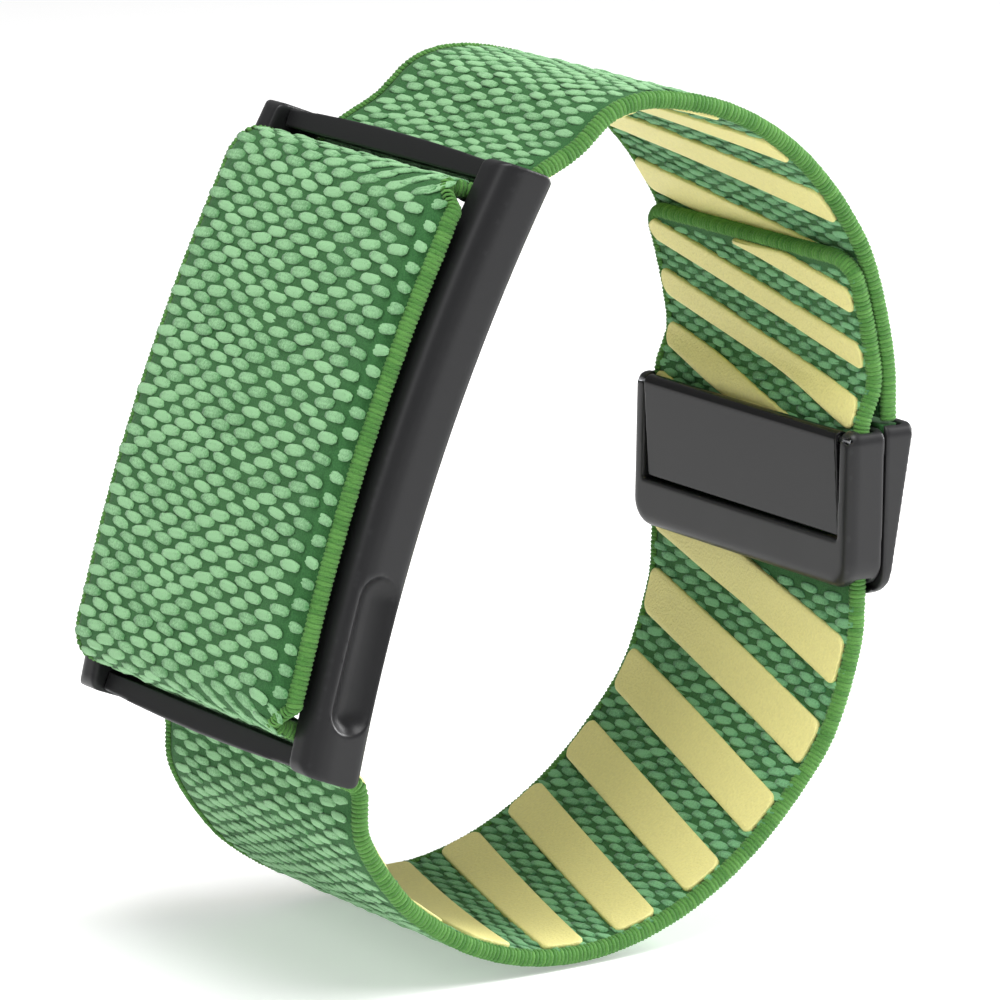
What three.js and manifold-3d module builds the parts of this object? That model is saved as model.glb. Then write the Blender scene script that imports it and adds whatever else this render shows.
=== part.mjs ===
// A woven wrist strap that carries an activity sensor: a moulded frame holds the sensor pod under the
// fabric, and a slider buckle with a locking lever and a hooked outer clip closes the loop.
// Millimetres, +Z up. The origin is the middle of the wrist opening. The pod is on the -X side,
// the buckle on the +X side, and Y runs along the wearer's arm.
import * as THREE from "three";
import { mergeVertices } from "three/addons/utils/BufferGeometryUtils.js";
import Module from "manifold-3d";

// ---- Driving dimensions ----

// The whole loop, seen along the arm
const FRAME_LEAN = 21.6; // degrees from upright, top towards the buckle
const WRIST_TO_FRAME = 22; // middle of the wrist to the frame's chord
const LOOP_MIDDLE = 19.5; // frame's chord to the middle of the loop's ellipse
const LOOP_DEPTH = 24.3; // half axis towards the buckle
const LOOP_RISE = 8.2; // the ellipse's top above the frame's end
const LOOP_SKEW = 0.026; // how far the ellipse is pulled askew
const LOOP_TOP = [54, 110]; // degrees, stretch of the ellipse above the buckle
const LOOP_BOTTOM = [-17, -107]; // degrees, stretch below the buckle

// Strap
const STRAP_WIDTH = 25;
const STRAP_THICK = 1.1;
const LAYER_GAP = 0.12; // between the tail and the strap it lies on
const TAIL_LENGTH = 12.8; // what stands out of the buckle
// The strap's middle behind each bar, from the bar's skin-side outer edge: inwards and endwards
const UPPER_APPROACH = [[5.65, 5.3], [3.85, 2.3]];
const LOWER_APPROACH = [[2.9, -0.15], [4.5, 3.05]];
const TAIL_JOINS = 2.5; // where the tail first lies on the upper strap, from the strap's end
const BAR_CLEAR = 0.75; // strap to the bar's skin-side face, where it swings round it
const POD_CLEAR = 0.45; // strap's turn onto the front, inside the pod's end

// Sensor pod
const POD_LENGTH = 34.7;
const POD_SIDE_GAP = 0.75; // pod to a rail
const POD_THICK = 7.6;
const POD_WALL = 0.8;
const POD_ROUND = 0.9;
const POD_CORNER = 1.5;
const POD_SPLIT = 4.2; // height of the front case
const SEAM = 0.5; // room for the gasket between the two cases
const ARCH_RADIUS = 140; // frame and pod follow the wrist
const FABRIC_FRONT = -4.6; // the fabric's outer face at the middle of the pod
const FABRIC_GAP = 0.2; // fabric to pod

// Frame
const POD_END_GAP = 0.5; // pod to the strap in the slot
const BAR_GAP = 0.95; // strap in the slot to the bar
const EDGE_GAP = 0.25; // strap's edge to a rail
const BAR_THICK = 1.6;
const BAR_FRONT = 0.5;
const BAR_BACK = 3.2;
const BAR_BOW = 0.35; // how far a bar's outer face swells at its middle
const RAIL_WIDTH = 2.75;
const RAIL_FRONT = -2.0;
const RAIL_BACK = 2.35;
const RAIL_END = 0.1; // how far a rail's end lies inside the bar's outer face
const JOINT_GAP = 0.1; // between a bar's shoulder and a rail
const RAIL_END_ROUND = 0.8;
const RAIL_SOFT = 1.7; // full round on a rail's outer front edge
const RAIL_SKIN_SOFT = 0.7; // its outer skin-side edge
const RAIL_SMALL = 0.3; // its two inner edges
const TENON = [1.1, 1.3, 0.65]; // along Y, X and Z
const TENON_IN = 0.2; // tenon from the bar's inner face
const TENON_FORWARD = 0.35; // tenon from the bar's middle, away from the skin
const TENON_ROOT = 0.5; // how deep it starts in the bar
const SCOOP_LENGTH = 11.5;
const SCOOP_RADIUS = 1.9;
const SCOOP_DEPTH = 0.95;
const SCOOP_MIDDLE = -12.6;
const SCOOP_FROM_BACK = 1.85;

// Optics
const WINDOW = [13, 15, 1.0]; // along Y, Z and X
const WINDOW_PROUD = 0.45;
const FIT = 0.15; // clearance round a piece that is set into another
const LAMP = [1.2, 1.6, 0.5];
const RECEIVER = [2.2, 2.4, 0.5];
const BAFFLE_WALL = 0.7;
const LAMP_ROOM = [5.2, 6.2]; // the baffle's middle opening, along Y and Z
const RECEIVER_ROOM = 8.2; // width of the openings above and below it
const WINDOW_CORNER = 2.5;
const LAMP_PITCH = [1.4, 1.8, 1.2]; // along Y, the green lamps along Z, the two others along Z
const RECEIVER_PITCH = 2; // along Y, from the middle

// Boards, cell and motor
const BOARD_THICK = 0.7;
const SENSOR_BOARD_RIM = 0.65; // past the baffle
const BOARDS_APART = 0.6;
const BOARD_EDGE = 1.2; // main board to the case's wall
const CELL_TO_BOARD = 0.25;
const CELL_TO_CASE = 0.2;
const CELL_EDGE = 1.7; // cell to the case's side walls
const CELL_END_GAP = 2.35; // cell and motor to the case's end walls
const CELL_TO_MOTOR = 1.4;
const MOTOR = [8, 4.8]; // along Y and Z
const FLEX = [5, 3, 0.3]; // along Y, Z and X
const FLEX_PLACE = 6;

// Charge contacts
const CONTACT_RADIUS = 0.9;
const CONTACT_PITCH = 3.4;
const CONTACT_LENGTH = 1.2;
const CONTACT_PROUD = 0.05;
const CONTACT_PLACE = -12.6;

// Buckle
const BUCKLE_LEAN = 20.4; // degrees, against the frame
const BUCKLE_INSET = 5.7; // its inner face, inside the loop's deepest point
const BUCKLE_UP = 5.9; // its middle, from the frame's middle
const BUCKLE_WALL = 0.6;
const SLOT_GAP = 0.15; // strap to the slot's walls
const CHIN = [-5.3, -1.8]; // lowest and highest point of the wall below the lever
const BODY_TOP = 6.0;
const SKIN_WALL = 1.1;
const BACK_WALL = 0.55;
const BODY_ROUND = 0.8;
const BODY_CORNER = 2.0;
const BODY_TOP_CORNER = 0.9;
const FLANGE = 1.4; // side wall beside the lever
const LEVER_GAP = 0.2;
const LEVER_THICK = 0.65;
const LEVER_SUNK = 0.35; // its free end, inside the body's face
const BARREL_RADIUS = 0.62;
const BARREL_PROUD = 0.17;
const BARREL_DOWN = 0.08; // its top, under the body's top
const PIN_RADIUS = 0.25;
const PIN_GAP = 0.08;
const PIN_INSET = 0.4; // pin's end to the outside of the wall that holds it

// Outer clip
const CLIP_GAP = 0.12;
const CLIP_TOP = 6.3;
const CLIP_WALL = 0.65;
const CLIP_THICK_TOP = 2.35;
const CLIP_THICK_BOTTOM = 0.75;
const CLIP_UNDER = 0.2; // the clip's lip below the body
const CLIP_LIP = 0.5;
const CLIP_TOE = 0.9; // where the outer face starts to turn under, above the body's lowest point
const POCKET_FLOOR = 0.6;
const TAB_FLOOR = 1.2;
const TAB_TOP = 0.1; // under the clip's top
const TAB_SIDE = 0.2; // each side of the tab, inside the strap's edge
const ANCHOR_UP = 3.6;
const STRAP_ABOVE_TAB = 0.45;
const MOUTH_GAP = 0.3; // strap to the body, where it leaves the clip's mouth
const STRAIGHT_ABOVE_CLIP = [0.05, 4.5]; // the strap's middle, from its start in the clip
const CATCH = [8, 1.9, 0.22]; // along Y, Z and X
const CATCH_UP = 3.2;

const wasm = await Module();
wasm.setup();

const plastic = { color: 0x3b3b3d, roughness: 0.48, metalness: 0.0 };
const fabric = { color: 0x68ab63, roughness: 0.95, metalness: 0.0 };
const steel = { color: 0xb9bcc0, roughness: 0.3, metalness: 1.0 };

// ---- Solids ----

function toSolid(geometry) {
  const bare = geometry.clone();
  bare.deleteAttribute("normal");
  bare.deleteAttribute("uv");
  const merged = mergeVertices(bare, 1e-4);
  return new wasm.Manifold(
    new wasm.Mesh({
      numProp: 3,
      vertProperties: merged.attributes.position.array,
      triVerts: new Uint32Array(merged.index.array),
    }),
  );
}

function toGeometry(solid) {
  const mesh = solid.getMesh();
  const geometry = new THREE.BufferGeometry();
  geometry.setAttribute("position", new THREE.BufferAttribute(mesh.vertProperties, 3));
  geometry.setIndex(new THREE.BufferAttribute(mesh.triVerts, 1));
  const flat = geometry.toNonIndexed();
  flat.computeVertexNormals();
  return flat;
}

function cut(geometry, ...tools) {
  return toGeometry(tools.reduce((solid, tool) => solid.subtract(toSolid(tool)), toSolid(geometry)));
}

function join(geometry, ...others) {
  return toGeometry(others.reduce((solid, other) => solid.add(toSolid(other)), toSolid(geometry)));
}

function common(a, b) {
  return toGeometry(toSolid(a).intersect(toSolid(b)));
}

// A box between two corners, each [x, y, z].
function box(low, high) {
  const size = high.map((value, i) => value - low[i]);
  const middle = high.map((value, i) => (value + low[i]) / 2);
  return new THREE.BoxGeometry(...size).translate(...middle);
}

// A rod along Y through x, z.
function rod(radius, length, x, z, sides = 24) {
  return new THREE.CylinderGeometry(radius, radius, length, sides).translate(x, 0, z);
}

// A side view, drawn in X and Z, made width wide along Y.
function slab(shape, width, bevel = 0) {
  const geometry = new THREE.ExtrudeGeometry(shape, {
    depth: width - 2 * bevel,
    bevelEnabled: bevel > 0,
    bevelThickness: bevel,
    bevelSize: bevel,
    bevelOffset: -bevel,
    bevelSegments: 3,
    curveSegments: 8,
  });
  return geometry.translate(0, 0, bevel - width / 2).rotateX(Math.PI / 2);
}

// A face view, drawn in Y and Z, made thick along X from x = 0.
function plate(shape, thick, bevel = 0) {
  const geometry = new THREE.ExtrudeGeometry(shape, {
    depth: thick - 2 * bevel,
    bevelEnabled: bevel > 0,
    bevelThickness: bevel,
    bevelSize: bevel,
    bevelOffset: -bevel,
    bevelSegments: 4,
    curveSegments: 6,
  });
  geometry.translate(0, 0, bevel);
  const turn = new THREE.Matrix4().makeBasis(
    new THREE.Vector3(0, 1, 0),
    new THREE.Vector3(0, 0, 1),
    new THREE.Vector3(1, 0, 0),
  );
  return geometry.applyMatrix4(turn);
}

// A rectangle with a radius for its lower and one for its upper corners.
function roundedRectangle(left, bottom, right, top, low, high = low) {
  const shape = new THREE.Shape();
  shape.moveTo(left + low, bottom);
  shape.lineTo(right - low, bottom);
  shape.absarc(right - low, bottom + low, low, -Math.PI / 2, 0);
  shape.lineTo(right, top - high);
  shape.absarc(right - high, top - high, high, 0, Math.PI / 2);
  shape.lineTo(left + high, top);
  shape.absarc(left + high, top - high, high, Math.PI / 2, Math.PI);
  shape.lineTo(left, bottom + low);
  shape.absarc(left + low, bottom + low, low, Math.PI, 1.5 * Math.PI);
  return shape;
}

function arched(x, z) {
  return x + (z * z) / (2 * ARCH_RADIUS);
}

// A bar seen from the side, bent along the wrist, between two faces and two ends.
function archedOutline(front, back, halfLength, corner) {
  const steps = 16;
  const shape = new THREE.Shape();
  const reach = halfLength - corner;
  const side = (x) => Array.from({ length: steps + 1 }, (_, i) => {
    const z = -reach + (2 * reach * i) / steps;
    return new THREE.Vector2(arched(x, z), z);
  });
  const outward = side(back);
  const inward = side(front).reverse();
  shape.moveTo(outward[0].x, outward[0].y);
  outward.slice(1).forEach((p) => shape.lineTo(p.x, p.y));
  const quarter = Math.PI / 2;
  const end = arched(back, reach) - corner;
  const start = arched(front, reach) + corner;
  shape.absarc(end, reach, corner, 0, quarter);
  shape.absarc(start, reach, corner, quarter, 2 * quarter);
  inward.slice(1).forEach((p) => shape.lineTo(p.x, p.y));
  shape.absarc(start, -reach, corner, 2 * quarter, 3 * quarter);
  shape.absarc(end, -reach, corner, 3 * quarter, 4 * quarter);
  return shape;
}

// ---- Places that several pieces share ----

const FAR_OUT = 100; // past every piece, for a tool that cuts right through
const halfPod = POD_LENGTH / 2;
const slotMiddle = halfPod + POD_END_GAP + STRAP_THICK / 2;
const barInner = halfPod + POD_END_GAP + STRAP_THICK + BAR_GAP;
const barOuter = barInner + BAR_THICK;
const railInner = STRAP_WIDTH / 2 + EDGE_GAP;
const railOuter = railInner + RAIL_WIDTH;
const podHalfWidth = railInner - POD_SIDE_GAP;
const loopHeight = barOuter + LOOP_RISE;
const buckleX = LOOP_MIDDLE + LOOP_DEPTH - BUCKLE_INSET;
const coverMiddle = FABRIC_FRONT + STRAP_THICK / 2;
const podFront = FABRIC_FRONT + STRAP_THICK + FABRIC_GAP;
const podBack = podFront + POD_THICK;
const slotLow = SKIN_WALL;
const slotHigh = SKIN_WALL + STRAP_THICK + 2 * SLOT_GAP;
const bodyThick = slotHigh + BACK_WALL;
const strapInBuckle = (slotLow + slotHigh) / 2;
const bodyHalf = STRAP_WIDTH / 2 + SLOT_GAP + BUCKLE_WALL;
const clipInner = bodyThick + CLIP_GAP;
const barrelX = BARREL_RADIUS - BARREL_PROUD;
const barrelZ = BODY_TOP - BARREL_RADIUS - BARREL_DOWN;

const turned = new THREE.Group();
turned.rotation.y = THREE.MathUtils.degToRad(FRAME_LEAN);
const frame = new THREE.Group();
frame.position.x = -WRIST_TO_FRAME;
turned.add(frame);
const buckle = new THREE.Group();
buckle.position.set(buckleX, 0, BUCKLE_UP);
buckle.rotation.y = -THREE.MathUtils.degToRad(BUCKLE_LEAN);
frame.add(buckle);

function add(parent, name, geometry, finish) {
  const mesh = new THREE.Mesh(geometry, new THREE.MeshStandardMaterial(finish));
  mesh.name = name;
  parent.add(mesh);
}

// ---- Strap ----

// A place in the buckle, in the frame's side view.
function inBuckle(out, up) {
  const lean = THREE.MathUtils.degToRad(BUCKLE_LEAN);
  return new THREE.Vector3(
    buckleX + out * Math.cos(lean) - up * Math.sin(lean),
    0,
    BUCKLE_UP + out * Math.sin(lean) + up * Math.cos(lean),
  );
}

function onLoop(degrees) {
  const angle = THREE.MathUtils.degToRad(degrees);
  const pull = 1 - LOOP_SKEW * Math.sin(2 * angle);
  return new THREE.Vector3(
    LOOP_MIDDLE + LOOP_DEPTH * pull * Math.cos(angle),
    0,
    loopHeight * pull * Math.sin(angle),
  );
}

function alongLoop([from, to], count) {
  return Array.from({ length: count }, (_, i) => onLoop(from + ((to - from) * i) / (count - 1)));
}

// The strap's way over one end of the pod: behind the bar, through the slot and onto the front.
function overPodEnd(side) {
  const places = [
    [BAR_BACK + STRAP_THICK / 2 + BAR_CLEAR, barOuter - 0.5],
    [BAR_BACK + STRAP_THICK / 2 + BAR_CLEAR - 0.6, barInner - 0.3],
    [BAR_BACK - 0.5, slotMiddle + 0.15],
    [0.5, slotMiddle],
    [-1.2, slotMiddle - 0.1],
    [-2.35, slotMiddle - 0.6],
    [arched(coverMiddle, halfPod) - 0.05, halfPod - POD_CLEAR],
    [arched(coverMiddle, halfPod - 2.3), halfPod - 2.3],
  ];
  return places.map(([x, z]) => new THREE.Vector3(x, 0, side * z));
}

// The stretch from the clip to the top of the loop.
function upperStrap() {
  const [out, up] = STRAIGHT_ABOVE_CLIP;
  return [
    clipStart,
    inBuckle(clipInner + STRAP_THICK / 2 + out, CLIP_TOP + up),
    ...alongLoop(LOOP_TOP, 8),
  ];
}

function behindBar([inward, endward], side) {
  return new THREE.Vector3(BAR_BACK + inward, 0, side * (barOuter + endward));
}

function strapMiddle() {
  const quarter = halfPod / 2;
  const cover = [quarter, 0, -quarter].map((z) => new THREE.Vector3(arched(coverMiddle, z), 0, z));
  const points = [
    ...upperStrap(),
    ...UPPER_APPROACH.map((place) => behindBar(place, 1)),
    ...overPodEnd(1),
    ...cover,
    ...overPodEnd(-1).reverse(),
    ...LOWER_APPROACH.map((place) => behindBar(place, -1)),
    ...alongLoop(LOOP_BOTTOM, 12).reverse(),
    inBuckle(strapInBuckle - 0.15, CHIN[0] - 3.9),
    inBuckle(strapInBuckle, CHIN[0] - 1.4),
    inBuckle(strapInBuckle, (CHIN[0] + BODY_TOP) / 2),
    inBuckle(strapInBuckle, BODY_TOP + 0.3),
    ...tailPoints(),
  ];
  return new THREE.CatmullRomCurve3(points, false, "centripetal");
}

// The tail lies on the upper strap's skin side, one layer in.
function tailPoints() {
  const step = STRAP_THICK + LAYER_GAP;
  const upper = new THREE.CatmullRomCurve3(upperStrap(), false, "centripetal");
  const length = upper.getLength();
  return [0, 0.3, 0.55, 0.8, 1].map((share) => {
    const t = (TAIL_JOINS + share * (TAIL_LENGTH - TAIL_JOINS)) / length;
    const along = upper.getTangentAt(t);
    const inward = new THREE.Vector3(-along.z, 0, along.x);
    return upper.getPointAt(t).addScaledVector(inward, step);
  });
}

function makeStrap() {
  const middle = strapMiddle();
  const steps = 170;
  const outer = [];
  const inner = [];
  for (let i = 0; i <= steps; i += 1) {
    const t = i / steps;
    const p = middle.getPointAt(t);
    const along = middle.getTangentAt(t);
    const half = STRAP_THICK / 2;
    outer.push(new THREE.Vector2(p.x + along.z * half, p.z - along.x * half));
    inner.push(new THREE.Vector2(p.x - along.z * half, p.z + along.x * half));
  }
  return slab(new THREE.Shape([...outer, ...inner.reverse()]), STRAP_WIDTH);
}

const clipStart = inBuckle(clipInner + STRAP_THICK / 2 + MOUTH_GAP, CLIP_TOP - TAB_TOP + STRAP_ABOVE_TAB);
add(frame, "strap", makeStrap(), fabric);

// ---- Frame ----

class ArchPath extends THREE.Curve {
  getPoint(t) {
    const z = (2 * t - 1) * (barOuter + 1);
    return new THREE.Vector3(arched(0, z), 0, z);
  }
}

// The rail's section, drawn with its outer side to +Y: a full round on the outer front edge.
function railSection(side) {
  const section = new THREE.Shape();
  const soft = RAIL_SOFT;
  const skinSoft = RAIL_SKIN_SOFT;
  const small = RAIL_SMALL;
  const y0 = railInner;
  const y1 = railOuter;
  section.moveTo(y0, RAIL_BACK - small);
  section.lineTo(y0, RAIL_FRONT + small);
  section.quadraticCurveTo(y0, RAIL_FRONT, y0 + small, RAIL_FRONT);
  section.lineTo(y1 - soft, RAIL_FRONT);
  section.quadraticCurveTo(y1 - 0.15, RAIL_FRONT, y1, RAIL_FRONT + soft);
  section.lineTo(y1, RAIL_BACK - skinSoft);
  section.quadraticCurveTo(y1, RAIL_BACK, y1 - skinSoft, RAIL_BACK);
  section.lineTo(y0 + small, RAIL_BACK);
  section.quadraticCurveTo(y0, RAIL_BACK, y0, RAIL_BACK - small);
  const points = section.getPoints(8).map((p) => new THREE.Vector2(-side * p.x, p.y));
  return new THREE.Shape(points);
}

function tenonBox(side, end, grow) {
  const [along, deep, tall] = TENON;
  const near = side > 0 ? railInner - TENON_ROOT : -railInner - along - grow;
  const far = side > 0 ? railInner + along + grow : -railInner + TENON_ROOT;
  const x = (BAR_FRONT + BAR_BACK) / 2 - TENON_FORWARD;
  const z = end * (barInner + tall / 2 + TENON_IN);
  return box(
    [x - deep / 2 - grow, near, z - tall / 2 - grow],
    [x + deep / 2 + grow, far, z + tall / 2 + grow],
  );
}

function makeRail(side) {
  const swept = new THREE.ExtrudeGeometry(railSection(side), {
    steps: 24,
    bevelEnabled: false,
    extrudePath: new ArchPath(),
  });
  const outline = archedOutline(RAIL_FRONT - 0.01, RAIL_BACK + 0.01, barOuter - RAIL_END, RAIL_END_ROUND);
  const rail = common(swept, slab(outline, 4 * railOuter));
  return cut(rail, tenonBox(side, 1, JOINT_GAP), tenonBox(side, -1, JOINT_GAP));
}

function makeScoop() {
  const scoop = new THREE.CapsuleGeometry(SCOOP_RADIUS, SCOOP_LENGTH - 2 * SCOOP_RADIUS, 8, 24);
  scoop.rotateX(Math.PI / 2);
  const slope = Math.atan(SCOOP_MIDDLE / ARCH_RADIUS);
  scoop.rotateY(slope);
  const x = arched(RAIL_BACK - SCOOP_FROM_BACK, SCOOP_MIDDLE);
  return scoop.translate(x, -railOuter - SCOOP_RADIUS + SCOOP_DEPTH, SCOOP_MIDDLE);
}

function makeEndBar(end) {
  const reach = railInner - JOINT_GAP;
  const face = new THREE.Shape();
  const inner = end * barInner;
  const outer = end * (barOuter - BAR_BOW);
  face.moveTo(-reach, inner);
  face.lineTo(reach, inner);
  face.lineTo(reach, outer);
  face.quadraticCurveTo(0, outer + end * 2 * BAR_BOW, -reach, outer);
  const bar = plate(face, BAR_BACK - BAR_FRONT).translate(BAR_FRONT, 0, 0);
  return join(bar, tenonBox(1, end, 0), tenonBox(-1, end, 0));
}

add(frame, "side_rail_near", cut(makeRail(-1), makeScoop()), plastic);
add(frame, "side_rail_far", makeRail(1), plastic);
add(frame, "end_bar_upper", makeEndBar(1), plastic);
add(frame, "end_bar_lower", makeEndBar(-1), plastic);

// ---- Sensor pod ----

// The pod's outer shape, or the hollow inside it when inset is the wall.
function podShape(inset) {
  const outline = archedOutline(podFront + inset, podBack - inset, halfPod - inset, POD_CORNER);
  return slab(outline, 2 * (podHalfWidth - inset), POD_ROUND);
}

const splitLow = podFront + POD_SPLIT;
const splitHigh = splitLow + SEAM;
const windowX = arched(podBack, 0) + WINDOW_PROUD;
const [windowY, windowZ, windowThick] = WINDOW;

function windowShape(grow, thick, x) {
  const y = windowY / 2 + grow;
  const z = windowZ / 2 + grow;
  return plate(roundedRectangle(-y, -z, y, z, WINDOW_CORNER + grow), thick).translate(x, 0, 0);
}

function contactPlaces() {
  return [-1, 0, 1].map((i) => i * CONTACT_PITCH);
}

function contact(radius, length, y) {
  const x = arched(podBack, CONTACT_PLACE) + CONTACT_PROUD - length / 2;
  return new THREE.CylinderGeometry(radius, radius, length, 20)
    .rotateZ(Math.PI / 2)
    .translate(x, y, CONTACT_PLACE);
}

function makeFrontCase() {
  const half = common(podShape(0), box([-FAR_OUT, -FAR_OUT, -FAR_OUT], [splitLow, FAR_OUT, FAR_OUT]));
  return cut(half, podShape(POD_WALL));
}

function makeSkinCase() {
  const half = common(podShape(0), box([splitHigh, -FAR_OUT, -FAR_OUT], [FAR_OUT, FAR_OUT, FAR_OUT]));
  const holes = contactPlaces().map((y) => contact(CONTACT_RADIUS + FIT, 2 * POD_THICK, y));
  const windowHole = windowShape(FIT, 2 * POD_WALL + WINDOW_PROUD, podBack - POD_WALL - FIT);
  return cut(half, podShape(POD_WALL), windowHole, ...holes);
}

function makeGasket() {
  const ring = (inset) => {
    const y = podHalfWidth - inset;
    const z = halfPod - inset;
    return roundedRectangle(-y, -z, y, z, 0.8);
  };
  const shape = ring(0.3);
  shape.holes.push(new THREE.Path(ring(POD_WALL + 0.1).getPoints(6)));
  return plate(shape, SEAM - 2 * FIT).translate(splitLow + FIT, 0, 0);
}

const boardBack = windowX - windowThick - LAMP[2] - 2 * FIT;

// A square-sided part on the optics board, standing on it under the window.
function onBoard([wide, tall, thick], y, z) {
  return box(
    [boardBack + FIT, y - wide / 2, z - tall / 2],
    [boardBack + FIT + thick, y + wide / 2, z + tall / 2],
  );
}

// The baffle's outer size and the lowest and highest point of its upper receiver opening.
const baffleY = windowY / 2 - FIT;
const baffleZ = windowZ / 2 - FIT;
const receiverLow = LAMP_ROOM[1] / 2 + BAFFLE_WALL;
const receiverHigh = baffleZ - BAFFLE_WALL;

function makeBaffle() {
  const shape = roundedRectangle(-baffleY, -baffleZ, baffleY, baffleZ, 2.2);
  const hole = (y, low, high) => {
    shape.holes.push(new THREE.Path(roundedRectangle(-y, low, y, high, 0.4).getPoints(4)));
  };
  hole(LAMP_ROOM[0] / 2, -LAMP_ROOM[1] / 2, LAMP_ROOM[1] / 2);
  hole(RECEIVER_ROOM / 2, receiverLow, receiverHigh);
  hole(RECEIVER_ROOM / 2, -receiverHigh, -receiverLow);
  return plate(shape, LAMP[2]).translate(boardBack + FIT, 0, 0);
}

add(frame, "pod_front_case", makeFrontCase(), { color: 0x2f2f31, roughness: 0.5, metalness: 0 });
add(frame, "pod_skin_case", makeSkinCase(), { color: 0x48484b, roughness: 0.42, metalness: 0 });
add(frame, "case_gasket", makeGasket(), { color: 0x141414, roughness: 0.8, metalness: 0 });
add(frame, "sensor_window", windowShape(0, windowThick, windowX - windowThick), {
  color: 0x16181a,
  roughness: 0.08,
  metalness: 0,
});
add(frame, "optical_baffle", makeBaffle(), { color: 0x0c0c0c, roughness: 0.9, metalness: 0 });
const [lampY, greenPitch, otherPitch] = LAMP_PITCH;
[-greenPitch, 0, greenPitch].forEach((z, i) => {
  const lamp = { color: 0x9bd39a, roughness: 0.3, metalness: 0 };
  add(frame, "led_" + (i + 1), onBoard(LAMP, -lampY, z), lamp);
});
add(frame, "led_red", onBoard(LAMP, lampY, -otherPitch), { color: 0xc8463c, roughness: 0.3, metalness: 0 });
const darkLamp = { color: 0x3a2a3a, roughness: 0.3, metalness: 0 };
add(frame, "led_infrared", onBoard(LAMP, lampY, otherPitch), darkLamp);
[[-1, -1], [1, -1], [-1, 1], [1, 1]].forEach(([side, end], i) => {
  const chip = { color: 0x1d2a44, roughness: 0.25, metalness: 0.2 };
  const z = (end * (receiverLow + receiverHigh)) / 2;
  add(frame, "photodiode_" + (i + 1), onBoard(RECEIVER, side * RECEIVER_PITCH, z), chip);
});

const board = { color: 0x1f5a3a, roughness: 0.5, metalness: 0.1 };
const cavityY = podHalfWidth - POD_WALL;
const cavityZ = halfPod - POD_WALL;

// A flat square-cornered piece between two faces and two ends, centred across the pod.
function flatPiece(front, back, halfWide, low, high) {
  return box([front, -halfWide, low], [back, halfWide, high]);
}

const boardFront = boardBack - BOARD_THICK;
const sensorZ = baffleZ + SENSOR_BOARD_RIM;
const sensorBoard = flatPiece(boardFront, boardBack, baffleY + SENSOR_BOARD_RIM, -sensorZ, sensorZ);
add(frame, "sensor_board", sensorBoard, board);
const mainBack = boardFront - BOARDS_APART;
const mainFront = mainBack - BOARD_THICK;
const mainZ = cavityZ - BOARD_EDGE;
add(frame, "main_board", flatPiece(mainFront, mainBack, cavityY - BOARD_EDGE, -mainZ, mainZ), board);
const cellBack = mainFront - CELL_TO_BOARD;
const packZ = cavityZ - CELL_END_GAP;
const cellFront = arched(podFront + POD_WALL, packZ) + CELL_TO_CASE;
const [motorWide, motorTall] = MOTOR;
const motorLow = packZ - motorTall;
const cell = flatPiece(cellFront, cellBack, cavityY - CELL_EDGE, -packZ, motorLow - CELL_TO_MOTOR);
add(frame, "battery_cell", cell, { color: 0xb8bcc2, roughness: 0.35, metalness: 0.8 });
add(frame, "haptic_motor", flatPiece(cellFront, cellBack, motorWide / 2, motorLow, packZ), steel);
const [flexWide, flexTall, flexThick] = FLEX;
const flexBack = boardFront - (BOARDS_APART - flexThick) / 2;
const flexLow = FLEX_PLACE - flexTall / 2;
const flex = flatPiece(flexBack - flexThick, flexBack, flexWide / 2, flexLow, flexLow + flexTall);
add(frame, "flex_link", flex, { color: 0xc07a2a, roughness: 0.5, metalness: 0 });
contactPlaces().forEach((y, i) => {
  const gold = { color: 0xd9b45a, roughness: 0.25, metalness: 1 };
  add(frame, "charge_contact_" + (i + 1), contact(CONTACT_RADIUS, CONTACT_LENGTH, y), gold);
});

// ---- Buckle body, lever and pin ----

const pinLength = 2 * (bodyHalf - PIN_INSET);

function pin(x, z) {
  return rod(PIN_RADIUS, pinLength, x, z, 16);
}

function pinBore(x, z) {
  return rod(PIN_RADIUS + PIN_GAP, pinLength + 2 * PIN_GAP, x, z);
}

function makeBody() {
  const [bottom, chinTop] = CHIN;
  const outline = roundedRectangle(-bodyHalf, bottom, bodyHalf, BODY_TOP, BODY_CORNER, BODY_TOP_CORNER);
  const block = plate(outline, bodyThick + 2 * BODY_ROUND, BODY_ROUND);
  const trimmed = common(block, box([-1, -FAR_OUT, -FAR_OUT], [bodyThick, FAR_OUT, FAR_OUT]));
  const slotHalf = STRAP_WIDTH / 2 + SLOT_GAP;
  const slot = box([slotLow, -slotHalf, -FAR_OUT], [slotHigh, slotHalf, FAR_OUT]);
  const leverHalf = bodyHalf - FLANGE;
  const leverRoom = box([-FAR_OUT, -leverHalf, chinTop], [slotLow + FIT, leverHalf, FAR_OUT]);
  const bore = pinBore(barrelX, barrelZ);
  const [catchY, catchZ, catchX] = CATCH;
  const catchRoom = box(
    [bodyThick - catchX - FIT, -catchY / 2 - FIT, CATCH_UP - FIT],
    [FAR_OUT, catchY / 2 + FIT, CATCH_UP + catchZ + FIT],
  );
  return cut(trimmed, slot, leverRoom, bore, catchRoom);
}

function makeLever() {
  const shape = new THREE.Shape();
  const low = CHIN[1] + LEVER_GAP;
  shape.moveTo(LEVER_SUNK + LEVER_THICK, low);
  shape.lineTo(barrelX + BARREL_RADIUS, barrelZ);
  shape.absarc(barrelX, barrelZ, BARREL_RADIUS, 0, Math.PI);
  shape.lineTo(LEVER_SUNK, low);
  const bore = new THREE.Path();
  bore.absarc(barrelX, barrelZ, PIN_RADIUS + PIN_GAP, 0, 2 * Math.PI, true);
  shape.holes.push(bore);
  return slab(shape, 2 * (bodyHalf - FLANGE - LEVER_GAP));
}

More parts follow.
